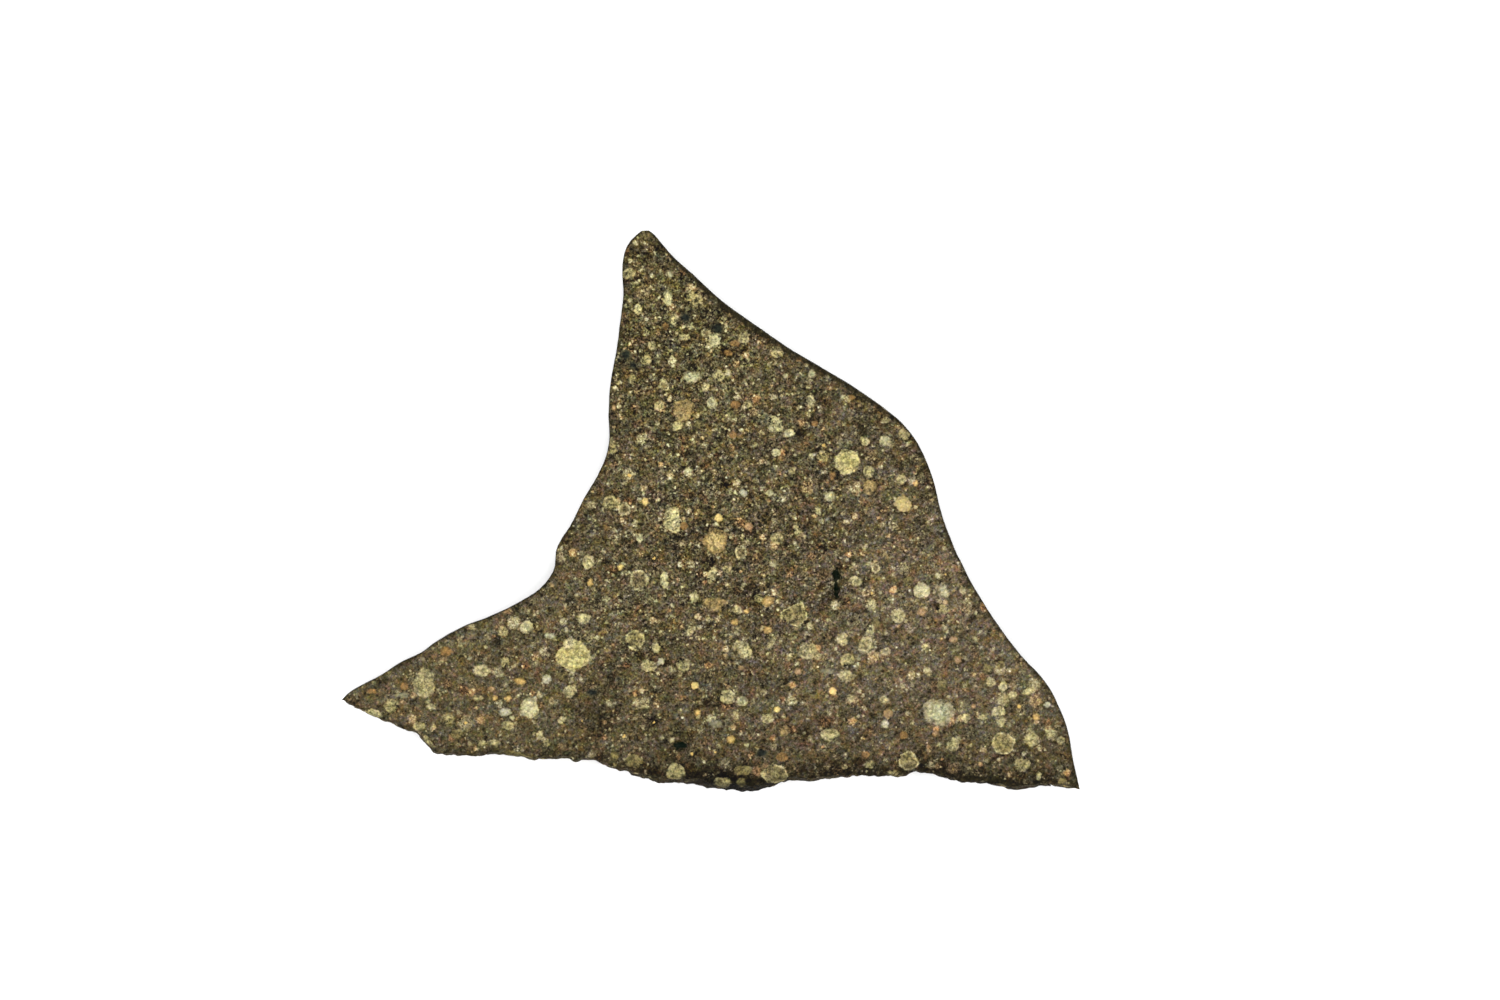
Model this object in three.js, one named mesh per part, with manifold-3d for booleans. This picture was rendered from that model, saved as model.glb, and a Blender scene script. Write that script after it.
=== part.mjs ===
// A thin sawn slice of a chondrite meteorite, lying on its back face.
// One solid: two sawn faces, a crusted natural rim round the top and the sides, and a broken lower edge.
// Millimetres, +Z up out of the front face, +Y towards the slice's peak, origin under the middle of its box.

import * as THREE from 'three';
import { mergeVertices } from 'three/addons/utils/BufferGeometryUtils.js';
import Module from 'manifold-3d';

// Driving dimensions.
const sliceWidth = 50;
const sliceHeight = 38;
const sliceThickness = 3;

// The crusted rim, from the left tip over the peak to the lower right corner.
const crustPoints = [
  // left spur
  [-25.0, -12.8], [-24.2, -12.1], [-22.3, -11.1], [-20.9, -10.2], [-19.6, -9.6], [-18.5, -8.8], [-16.7, -7.8],
  // left notch
  [-15.1, -7.2], [-13.2, -6.3], [-11.6, -5.3], [-10.6, -4.0], [-10.4, -2.5], [-9.5, -1.0],
  // left flank
  [-8.6, 0.8], [-7.6, 2.5], [-6.9, 4.4], [-6.9, 6.5], [-6.8, 8.5], [-6.4, 10.8], [-6.1, 12.9],
  // peak
  [-5.9, 14.8], [-6.0, 16.4], [-5.7, 17.9], [-4.9, 18.8], [-4.3, 19.0], [-3.7, 18.6],
  // upper right
  [-2.7, 17.4], [-1.4, 16.2], [0.8, 14.2], [2.9, 12.7], [5.2, 11.1], [7.4, 9.8], [9.7, 8.4],
  // right bulge
  [11.7, 7.0], [13.3, 5.6], [14.3, 4.0], [15.1, 2.0], [15.5, 0.2], [16.2, -1.8], [17.2, -4.0],
  // lower right
  [18.4, -6.1], [19.7, -8.1], [21.1, -9.9], [22.6, -11.5], [23.6, -13.3], [24.2, -15.0], [24.5, -16.7],
  [25.0, -18.9],
];

// The broken edge, from the lower right corner back to the left tip: chip to chip in straight runs.
const brokenPoints = [
  // lower right corner
  [25.0, -18.9], [23.6, -18.8], [22.8, -18.6], [20.6, -18.9], [18.5, -18.5], [17.1, -18.4], [16.0, -18.1],
  // shallow bay
  [15.3, -17.9], [13.8, -17.7], [13.3, -18.0], [9.8, -18.0], [6.6, -18.3], [5.4, -18.2], [4.7, -18.5],
  // lowest bulge
  [3.0, -19.0], [1.0, -19.0], [-1.4, -18.6], [-2.9, -18.4], [-3.5, -18.5], [-4.7, -18.1], [-7.0, -17.4],
  // long ragged run
  [-7.8, -17.0], [-9.2, -17.0], [-9.9, -16.8], [-10.9, -16.8], [-12.1, -16.9], [-12.7, -16.7], [-15.0, -16.5],
  // broken corner and the underside of the left spur
  [-16.0, -16.7], [-17.6, -16.6], [-18.7, -16.5], [-19.0, -16.1], [-19.4, -15.7], [-19.9, -15.1],
  [-21.3, -14.6], [-23.3, -13.7], [-25.0, -12.8],
];

const crustSamples = 190;
const brokenSamples = 190;
const chipRoughness = 0.07;

// Every stretch of the rim is in plain sight of this point, so the wall is drawn in straight towards it.
const heart = new THREE.Vector2(0.6, -7.3);
const leastFacing = 0.4;

// The wall stands out furthest at a crest, which wanders up and down between these shares of the thickness.
const wallSteps = 7;
const crestLow = 0.3;
const crestHigh = 0.66;
const crestWander = 6;
const crestBand = sliceThickness / wallSteps / 2;
const wallCurve = 1.6;

// Relief of the two kinds of wall: how far they fall back to the back face, and their waves or hackles.
const crustWall = { backFall: 0.35, reliefDepth: 0.1, reliefSize: 2.6 };
const brokenWall = { backFall: 0.6, reliefDepth: 0.35, reliefSize: 0.9 };

// How far the front rim falls back from the crest, as soft patches along the rim.
const plainFrontFall = 0.1;
const frontFalls = [
  // long slope under the lowest bulge
  { place: [-0.6, -18.8], reach: 6.5, fall: 1.2 },
  // worn lower right corner
  { place: [20.5, -18.8], reach: 5.5, fall: 0.45 },
  // thick crust below the peak
  { place: [2.5, 13.0], reach: 6.0, fall: 0.32 },
  { place: [10.5, 8.0], reach: 4.5, fall: 0.22 },
  // thin crust down the right side
  { place: [19.5, -8.0], reach: 9.0, fall: 0.12 },
  // ragged run at the left
  { place: [-16.0, -16.6], reach: 7.0, fall: 0.2 },
];

// Pits opened in the front face: centre, half sizes and turn of each.
const pits = [
  { centre: [8.4, -4.9], half: [0.3, 0.95, 0.5], turn: -0.08 },
  { centre: [-2.0, -15.8], half: [0.4, 0.25, 0.35], turn: 0.2 },
];
const pitDetail = 3;

// Rows of the noise that each use reads, far enough apart to be unalike.
const noiseRows = { chips: 7, crest: 3, backFall: 11, relief: 20 };

// The usual sine hash: large unlike factors scatter neighbouring whole numbers.
const hashStretch = [127.1, 311.7];
const hashScatter = 43758.5453;

// Repeatable pseudo-random value, 0 to 1, for a pair of whole numbers.
function hash(i, j) {
  const wave = Math.sin(i * hashStretch[0] + j * hashStretch[1]) * hashScatter;
  return wave - Math.floor(wave);
}

// Smooth noise, 0 to 1: the hash at whole numbers, eased between them.
function noise(u, v) {
  const [i, j] = [Math.floor(u), Math.floor(v)];
  const [a, b] = [THREE.MathUtils.smoothstep(u - i, 0, 1), THREE.MathUtils.smoothstep(v - j, 0, 1)];
  const low = THREE.MathUtils.lerp(hash(i, j), hash(i + 1, j), a);
  const high = THREE.MathUtils.lerp(hash(i, j + 1), hash(i + 1, j + 1), a);
  return THREE.MathUtils.lerp(low, high, b);
}

const toVectors = (points) => points.map(([x, y]) => new THREE.Vector2(x, y));

// Straight runs through the chip points, sampled evenly, each sample knocked a little up or down.
function brokenRun() {
  const samples = new THREE.Path(toVectors(brokenPoints)).getSpacedPoints(brokenSamples);
  const knocked = samples.map((point, i) => {
    const knock = THREE.MathUtils.lerp(-chipRoughness, chipRoughness, hash(i, noiseRows.chips));
    return new THREE.Vector2(point.x, point.y + knock);
  });
  return [samples[0], ...knocked.slice(1)];
}

// The whole rim, counter-clockwise, scaled and centred to the driving width and height.
function makeRim() {
  const crust = new THREE.SplineCurve(toVectors(crustPoints)).getSpacedPoints(crustSamples);
  const rim = [...crust.slice(0, -1), ...brokenRun().slice(0, -1)];
  const box = new THREE.Box2().setFromPoints(rim);
  const size = box.getSize(new THREE.Vector2());
  const middle = box.getCenter(new THREE.Vector2());
  const fit = new THREE.Vector2(sliceWidth / size.x, sliceHeight / size.y);
  return rim.map((point) => point.sub(middle).multiply(fit)).reverse();
}

// For each rim point: its distance along the rim, its kind of wall, and how squarely it faces the heart.
function describeRim(rim) {
  let travelled = 0;
  return rim.map((point, i) => {
    const before = rim.at(i - 1);
    const after = rim[(i + 1) % rim.length];
    travelled += point.distanceTo(before);
    const along = after.clone().sub(before).normalize();
    const inward = heart.clone().sub(point).normalize();
    const facing = Math.max(Math.abs(along.cross(inward)), leastFacing);
    return { point, travelled, wall: i < brokenSamples ? brokenWall : crustWall, facing };
  });
}

// Fall of the front rim at a point: the plain fall and every patch near it.
function frontFall(point) {
  return frontFalls.reduce((sum, { place, reach, fall }) => {
    const away = point.distanceTo(new THREE.Vector2(...place)) / reach;
    return sum + fall * Math.exp(-away * away);
  }, plainFrontFall);
}

// How far the wall lies inside the rim at a height: a curve either side of the crest, and the wall's own relief.
function wallInset({ point, travelled, wall, facing }, z) {
  const wander = travelled / crestWander;
  const crest = sliceThickness * THREE.MathUtils.lerp(crestLow, crestHigh, noise(wander, noiseRows.crest));
  const isAbove = z > crest;
  const away = Math.max(Math.abs(z - crest) - crestBand, 0);
  const share = away / ((isAbove ? sliceThickness - crest : crest) - crestBand);
  const fall = isAbove ? frontFall(point) : wall.backFall * (0.5 + noise(wander, noiseRows.backFall));
  const relief = wall.reliefDepth * noise(travelled / wall.reliefSize, z / wall.reliefSize + noiseRows.relief);
  const reliefShare = share * Math.sin(Math.PI * z / sliceThickness);
  return (fall * share ** wallCurve + relief * reliefShare) / facing;
}

// The slice: the rim drawn at every step of the wall, joined by a band of triangles and closed by flat caps.
function makeSliceGeometry() {
  const stations = describeRim(makeRim());
  const rings = Array.from({ length: wallSteps + 1 }, (_, step) => {
    const z = sliceThickness * step / wallSteps;
    return stations.map((station) => {
      const inward = heart.clone().sub(station.point).normalize();
      const place = station.point.clone().addScaledVector(inward, wallInset(station, z));
      return new THREE.Vector3(place.x, place.y, z);
    });
  });
  const count = stations.length;
  const band = rings.slice(1).flatMap((_, ring) => stations.flatMap((__, i) => {
    const [low, lowNext] = [ring * count + i, ring * count + (i + 1) % count];
    return [low, lowNext, low + count, lowNext, lowNext + count, low + count];
  }));
  const backCap = THREE.ShapeUtils.triangulateShape(rings[0], []).flatMap(([a, b, c]) => [c, b, a]);
  const frontCap = THREE.ShapeUtils.triangulateShape(rings.at(-1), []).flat();
  const geometry = new THREE.BufferGeometry().setFromPoints(rings.flat());
  geometry.setIndex([...band, ...backCap, ...frontCap.map((index) => index + wallSteps * count)]);
  return geometry;
}

// An ellipsoid sunk to its middle in the front face, to be cut away as a pit.
function makePitGeometry({ centre, half, turn }) {
  const geometry = new THREE.IcosahedronGeometry(1, pitDetail);
  geometry.scale(...half);
  geometry.rotateZ(turn);
  geometry.translate(...centre, sliceThickness);
  geometry.deleteAttribute('normal');
  geometry.deleteAttribute('uv');
  return mergeVertices(geometry);
}

const wasm = await Module();
wasm.setup();

function toManifold(geometry) {
  const vertProperties = new Float32Array(geometry.attributes.position.array);
  const triVerts = new Uint32Array(geometry.index.array);
  return new wasm.Manifold(new wasm.Mesh({ numProp: 3, vertProperties, triVerts }));
}

function toGeometry(solid) {
  const { vertProperties, triVerts } = solid.getMesh();
  const geometry = new THREE.BufferGeometry();
  geometry.setAttribute('position', new THREE.BufferAttribute(vertProperties, 3));
  geometry.setIndex(new THREE.BufferAttribute(triVerts, 1));
  geometry.computeVertexNormals();
  return geometry;
}

const sliceSolid = pits.reduce(
  (solid, pit) => solid.subtract(toManifold(makePitGeometry(pit))),
  toManifold(makeSliceGeometry()),
);

const stone = new THREE.MeshStandardMaterial({ color: 0x584c3a, roughness: 0.6, metalness: 0.0 });

const slice = new THREE.Mesh(toGeometry(sliceSolid), stone);
slice.name = 'chondrite_slice';

const group = new THREE.Group();
group.add(slice);

export default group;
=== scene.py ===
import itertools

import bpy
import numpy as np
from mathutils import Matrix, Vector


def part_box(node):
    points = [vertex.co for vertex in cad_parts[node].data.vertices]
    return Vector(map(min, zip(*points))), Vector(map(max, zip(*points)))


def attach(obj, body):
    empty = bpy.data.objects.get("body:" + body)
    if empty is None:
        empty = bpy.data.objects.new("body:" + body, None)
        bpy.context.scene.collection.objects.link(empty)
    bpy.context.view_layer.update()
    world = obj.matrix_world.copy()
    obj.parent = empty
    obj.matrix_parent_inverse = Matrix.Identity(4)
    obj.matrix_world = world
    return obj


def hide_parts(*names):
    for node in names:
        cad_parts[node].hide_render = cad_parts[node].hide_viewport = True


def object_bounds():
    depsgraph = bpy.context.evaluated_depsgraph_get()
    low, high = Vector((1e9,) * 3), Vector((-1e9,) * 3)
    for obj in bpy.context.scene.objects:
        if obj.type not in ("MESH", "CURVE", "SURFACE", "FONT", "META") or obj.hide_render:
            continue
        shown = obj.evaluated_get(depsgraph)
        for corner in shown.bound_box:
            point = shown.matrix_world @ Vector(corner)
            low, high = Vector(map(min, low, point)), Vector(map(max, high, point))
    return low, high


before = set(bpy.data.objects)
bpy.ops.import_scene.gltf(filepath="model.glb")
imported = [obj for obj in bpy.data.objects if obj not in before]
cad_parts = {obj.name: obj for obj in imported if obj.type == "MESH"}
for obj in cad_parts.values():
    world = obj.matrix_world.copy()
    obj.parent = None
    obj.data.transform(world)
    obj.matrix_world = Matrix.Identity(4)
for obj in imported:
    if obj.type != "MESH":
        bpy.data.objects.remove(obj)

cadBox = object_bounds()
mm = 0.001
print("frame loaded, box", [[round(v / mm, 2) for v in corner] for corner in cadBox])


studio = {
    "gain": 1.92,                # how much of its base colour a dull face sends back under the softboxes
    "haze": 0.0066,              # what its gloss adds
    "gloss": 0.045,              # specular level of the stone
}

# large odd numbers that scramble a cell's place, one for each axis, for the seed and for the second round
scramblers = (73856093, 19349663, 83492791, 2654435761, 1274126177)


def seenAs(colour):
    # base colour for a 0-255 colour seen in the studio: the usual 2.4 power curve, less haze, over gain
    c = np.asarray(colour, float) / 255
    linear = np.where(c <= 0.04045, c / 12.92, ((c + 0.055) / 1.055) ** 2.4)
    return np.clip((linear - studio["haze"]) / studio["gain"], 0.0005, 1)


def scatter(cells, seed):
    # a repeatable value 0-1 for each row of whole numbers: multiply, mix and fold the bits
    first, second, third, forSeed, again = scramblers
    bits = (cells[:, 0] * first) ^ (cells[:, 1] * second) ^ (cells[:, 2] * third) ^ (seed * forSeed)
    bits = (bits ^ (bits >> 13)) * again
    bits = bits ^ (bits >> 16)
    return (bits & 0xFFFFFF) / 0xFFFFFF


def softNoise(points, size, seed):
    # value noise 0-1: a random value at each lattice corner, eased between the eight corners of a cell
    grid = points / size
    cell = np.floor(grid).astype(np.int64)
    part = grid - cell
    part = part * part * (3 - 2 * part)
    total = np.zeros(len(points))
    for corner in itertools.product((0, 1), repeat=3):
        weight = np.prod(np.where(corner, part, 1 - part), axis=1)
        total += weight * scatter(cell + np.array(corner), seed)
    return total


def nearPatches(xy, patches, plain):
    # plain value plus a soft round bump for every (x, y, reach, amount) patch
    total = np.full(len(xy), float(plain))
    for x, y, reach, amount in patches:
        away = ((xy[:, 0] - x) ** 2 + (xy[:, 1] - y) ** 2) / reach ** 2
        total += amount * np.exp(-away)
    return total


sliceShape = {
    "node": "chondrite_slice",
    "heart": (0.6, -7.3),        # mm, sees the whole rim
    "solidSteps": 7,             # levels of the wall in the solid
    "frontCells": 240,
    "backCells": 120,
    "wallShares": (0, 0.012, 0.035, 0.075, 0.13, 0.19, 0.25, 0.31, 0.37, 0.43, 0.5,
                   0.57, 0.63, 0.7, 0.77, 0.84, 0.91, 0.97, 1),   # front to back
    "backRing": 0.985,
    "slopeKept": (0.15, 0.35),   # share of the wall's fall towards the front that is kept, crust and broken
    "rimBite": 0.015,            # mm the very edge is worn back
    "crustRelief": ((0.9, 0.05), (0.3, 0.025)),    # size and depth of each layer, mm
    "brokenRelief": ((0.7, 0.16), (0.28, 0.09), (0.13, 0.04)),
    "rimRelief": ((0.8, 0.1), (0.3, 0.08)),
    "reliefMiddle": (0.5, 0.6),  # noise value that leaves the wall where it is, crust and broken
    "nicks": (0.25, 0.35),       # how much both edges are nicked, and how much more where broken
    "nickShare": 0.12,           # share of the wall's height the nicks reach
    "angles": 7201,              # directions round the heart in which the solid is read
    "pitRoom": 1.2,              # mm inside the wall beyond which a point belongs to a pit
    "smoothOver": 4,             # rim points on either side that the outward direction is smoothed over
    "blendOver": 9,              # rim points over which crust turns into broken edge
    "sharpAngle": 35,
    "seed": 11,
}

pits = [
    # x, y, half width, half height, depth, turn in radians
    (8.5, -4.3, 0.32, 0.44, 0.5, 0.1),
    (8.53, -5.35, 0.23, 0.62, 0.45, 0.05),
    (-2.1, -15.8, 0.5, 0.28, 0.35, 0.15),
]

pitEdge = {
    "ragged": 0.5,
    "size": 0.35,                # mm, of the raggedness
    "seed": 71,
    "dark": 0.25,                # mm of depth at which a pit's painted shade is at its darkest
}


def readRim():
    # radius of the solid's wall at each of its levels, against the angle round the heart
    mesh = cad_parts[sliceShape["node"]].data
    flat = np.empty(len(mesh.vertices) * 3, np.float32)
    mesh.vertices.foreach_get("co", flat)
    points = flat.reshape(-1, 3).astype(float) / mm
    thickness = points[:, 2].max()
    offset = points[:, :2] - sliceShape["heart"]
    angle = np.arctan2(offset[:, 1], offset[:, 0])
    radius = np.hypot(offset[:, 0], offset[:, 1])
    fine = np.linspace(-np.pi, np.pi, sliceShape["angles"])
    levels = []
    for height in np.linspace(0, thickness, sliceShape["solidSteps"] + 1):
        here = abs(points[:, 2] - height) < 0.01
        if levels:
            # leaves out the mouths of the pits, which lie well inside the level below
            inner = np.interp(angle, fine, levels[-1], period=2 * np.pi)
            here &= radius > inner - sliceShape["pitRoom"]
        order = np.argsort(angle[here])
        levels.append(np.interp(fine, angle[here][order], radius[here][order], period=2 * np.pi))
    return thickness, fine, np.array(levels)


def makeRings():
    # the wall as rings of points, front to back, evenly spaced along the rim, corner at the lower right first
    thickness, fine, levels = readRim()
    outer = levels.max(axis=0)
    rim = np.stack([outer * np.cos(fine), outer * np.sin(fine)], axis=1) + sliceShape["heart"]
    run = np.concatenate([[0], np.cumsum(np.hypot(*np.diff(rim, axis=0).T))])
    start = np.interp(np.argmax(rim[:, 0]), np.arange(len(run)), run)
    count = 4 * sliceShape["frontCells"]
    along = (start + run[-1] * np.arange(count) / count) % run[-1]
    angle = np.interp(along, run, fine)
    toRim = np.stack([np.cos(angle), np.sin(angle)], axis=1)

    shares = np.array(sliceShape["wallShares"])
    heights = thickness * (1 - shares)
    place = heights / thickness * sliceShape["solidSteps"]
    low = np.minimum(place.astype(int), sliceShape["solidSteps"] - 1)
    mix = (place - low)[:, None]
    sampled = np.array([np.interp(angle, fine, level) for level in levels])
    radius = sampled[low] * (1 - mix) + sampled[low + 1] * mix

    # outward direction: square to the rim, smoothed over a few neighbours
    reach = np.interp(angle, fine, outer)
    edge = toRim * reach[:, None]
    over = sliceShape["smoothOver"]
    travel = np.roll(edge, -over, axis=0) - np.roll(edge, over, axis=0)
    travel /= np.linalg.norm(travel, axis=1)[:, None]
    outward = np.stack([travel[:, 1], -travel[:, 0]], axis=1)

    # broken between the left tip and the lower right corner
    tip = int(np.argmin(edge[:, 0]))
    broken = np.zeros(count)
    broken[tip:] = 1
    blend = np.hanning(sliceShape["blendOver"])
    broken = np.convolve(np.pad(broken, len(blend) // 2, mode="wrap"), blend / blend.sum(), mode="valid")

    # above its crest the wall keeps only part of its fall
    crest = np.argmax(radius, axis=0)
    above = np.arange(len(shares))[:, None] < crest
    crustKept, brokenKept = sliceShape["slopeKept"]
    kept = crustKept + (brokenKept - crustKept) * broken
    radius = np.where(above, reach - (reach - radius) * kept, radius)

    rings = np.empty((len(shares), count, 3))
    rings[:, :, :2] = radius[:, :, None] * toRim + sliceShape["heart"]
    rings[:, :, 2] = heights[:, None]
    flat = rings.reshape(-1, 3)
    push = np.zeros(len(flat))
    brokenFlat = np.tile(broken, len(shares))
    crustMiddle, brokenMiddle = sliceShape["reliefMiddle"]
    for layer, (size, depth) in enumerate(sliceShape["crustRelief"]):
        push += (1 - brokenFlat) * depth * (softNoise(flat, size, sliceShape["seed"] + layer) - crustMiddle)
    for layer, (size, depth) in enumerate(sliceShape["brokenRelief"]):
        push += brokenFlat * depth * (softNoise(flat, size, sliceShape["seed"] + 5 + layer) - brokenMiddle)
    push = push.reshape(len(shares), count)
    # both sawn edges are nicked, mostly where the rim is broken
    nick = sum(depth * softNoise(flattened(rings[0]), size, sliceShape["seed"] + 9 + k)
               for k, (size, depth) in enumerate(sliceShape["rimRelief"]))
    nearEdge = np.clip(1 - np.minimum(shares, 1 - shares) / sliceShape["nickShare"], 0, 1)[:, None]
    everywhere, whereBroken = sliceShape["nicks"]
    push -= nearEdge * nick * (everywhere + whereBroken * broken)
    push[0] -= sliceShape["rimBite"]
    push[-1] -= sliceShape["rimBite"]
    rings[:, :, :2] += push[:, :, None] * outward
    rings[0, :, 2] = thickness
    rings[-1, :, 2] = 0
    return rings, broken, thickness


def flattened(ring):
    # a ring's points laid in the plane of the front face
    flat = ring.copy()
    flat[:, 2] = 0
    return flat


def squareRings(cells):
    # for every point of a square grid: its ring as a share of the way out, and how far round that ring it is
    half = cells // 2
    i, j = np.meshgrid(np.arange(cells + 1) - half, np.arange(cells + 1) - half, indexing="ij")
    ring = np.maximum(abs(i), abs(j))
    sides = [
        ((i == ring) & (j < ring), j + ring),
        ((j == ring) & (i > -ring), 3 * ring - i),
        ((i == -ring) & (j > -ring), 5 * ring - j),
        ((j == -ring) & (i < ring), 7 * ring + i),
    ]
    along = np.select(*zip(*sides), 0)
    return (ring / half).ravel(), (along / np.maximum(8 * ring, 1)).ravel()


def gridFaces(cells, first):
    # quads of a square grid whose points start at index first
    index = first + np.arange((cells + 1) ** 2).reshape(cells + 1, cells + 1)
    return np.stack([index[:-1, :-1], index[1:, :-1], index[1:, 1:], index[:-1, 1:]], axis=-1).reshape(-1, 4)


def rimOrder(share, turnShare, first):
    # indices of a grid's outermost points, in order round the rim
    outermost = np.flatnonzero(share == 1)
    return first + outermost[np.argsort(turnShare[outermost])]


def spread(share, turnShare, ring):
    # heart + share x (rim point at that fraction of the way round - heart)
    count = len(ring)
    stations = np.arange(count + 1) / count
    closed = np.vstack([ring, ring[:1]])
    rim = np.stack([np.interp(turnShare, stations, closed[:, axis]) for axis in (0, 1)], axis=1)
    return np.array(sliceShape["heart"]) + share[:, None] * (rim - sliceShape["heart"])


def rimDistance(points, turnShare, ring):
    # least distance to the rim points up to a twentieth of the way round on either side
    count = len(ring)
    station = np.rint(turnShare * count).astype(int)
    least = np.full(len(points), np.inf)
    for step in range(-count // 20, count // 20 + 1):
        away = points[:, :2] - ring[(station + step) % count, :2]
        least = np.minimum(least, np.hypot(away[:, 0], away[:, 1]))
    return least


def sinkPits(points, faceHeight):
    # each pit is an ellipse with a ragged edge, deepest along its middle
    drop = np.zeros(len(points))
    for x, y, halfWidth, halfHeight, depth, turn in pits:
        dx, dy = points[:, 0] - x, points[:, 1] - y
        across = (dx * np.cos(turn) + dy * np.sin(turn)) / halfWidth
        up = (-dx * np.sin(turn) + dy * np.cos(turn)) / halfHeight
        ragged = 1 + pitEdge["ragged"] * (softNoise(points, pitEdge["size"], pitEdge["seed"]) - 0.5)
        inside = np.clip(1 - np.hypot(across, up) * ragged, 0, 1)
        drop = np.maximum(drop, depth * np.sqrt(inside))
    points[:, 2] = faceHeight - drop
    return drop


grainKinds = {
    # core and rim colours on screen, rim width mm, how gritty inside 0-1, metal 0-1
    "dark": ((40, 44, 38), (72, 68, 50), 0.3, 1.3, 0),
    "dimOlive": ((124, 113, 72), (110, 100, 64), 0.12, 1.1, 0),
    "ring": ((122, 109, 76), (176, 165, 122), 0.12, 1.1, 0),
    "edged": ((140, 128, 86), (174, 163, 116), 0.1, 1.25, 0),
    "slate": ((140, 134, 102), (131, 125, 96), 0.12, 0.6, 0),
    "olive": ((158, 147, 101), (144, 133, 92), 0.12, 1.3, 0),
    "greyGreen": ((167, 159, 115), (148, 139, 102), 0.14, 1.4, 0),
    "dullTan": ((161, 139, 93), (147, 127, 84), 0.2, 1, 0),
    "yellowOlive": ((175, 164, 116), (156, 145, 105), 0.12, 1.15, 0),
    "greyPale": ((186, 182, 140), (152, 141, 107), 0.3, 0.85, 0),
    "tan": ((201, 177, 117), (145, 123, 80), 0.5, 0.8, 0),
    "butter": ((197, 185, 122), (188, 176, 120), 0.12, 0.8, 0),
    "straw": ((195, 184, 133), (166, 154, 111), 0.12, 1.05, 0),
    "cream": ((217, 196, 129), (188, 169, 114), 0.2, 0.4, 0),
    "pale": ((211, 203, 153), (185, 175, 130), 0.12, 0.75, 0),
    "white": ((200, 194, 158), (184, 178, 144), 0.12, 0.6, 0),
    "rust": ((151, 119, 74), (138, 107, 65), 0.12, 0.7, 0),
    "rose": ((185, 154, 112), (148, 122, 83), 0.12, 0.6, 0),
    "orange": ((194, 161, 116), (140, 113, 76), 0.12, 0.6, 0),
    "amber": ((213, 181, 113), (172, 143, 86), 0.12, 0.5, 0.1),
    "gold": ((250, 222, 142), (230, 200, 128), 0.1, 0.3, 0.2),
}

# the grains' places are pixel coordinates, y down
pixels = {
    "across": 740.5,             # pixels that the slice's width covers
    "origin": (710.75, 511.4),   # the pixel where the slice's own origin lies
}

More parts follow.
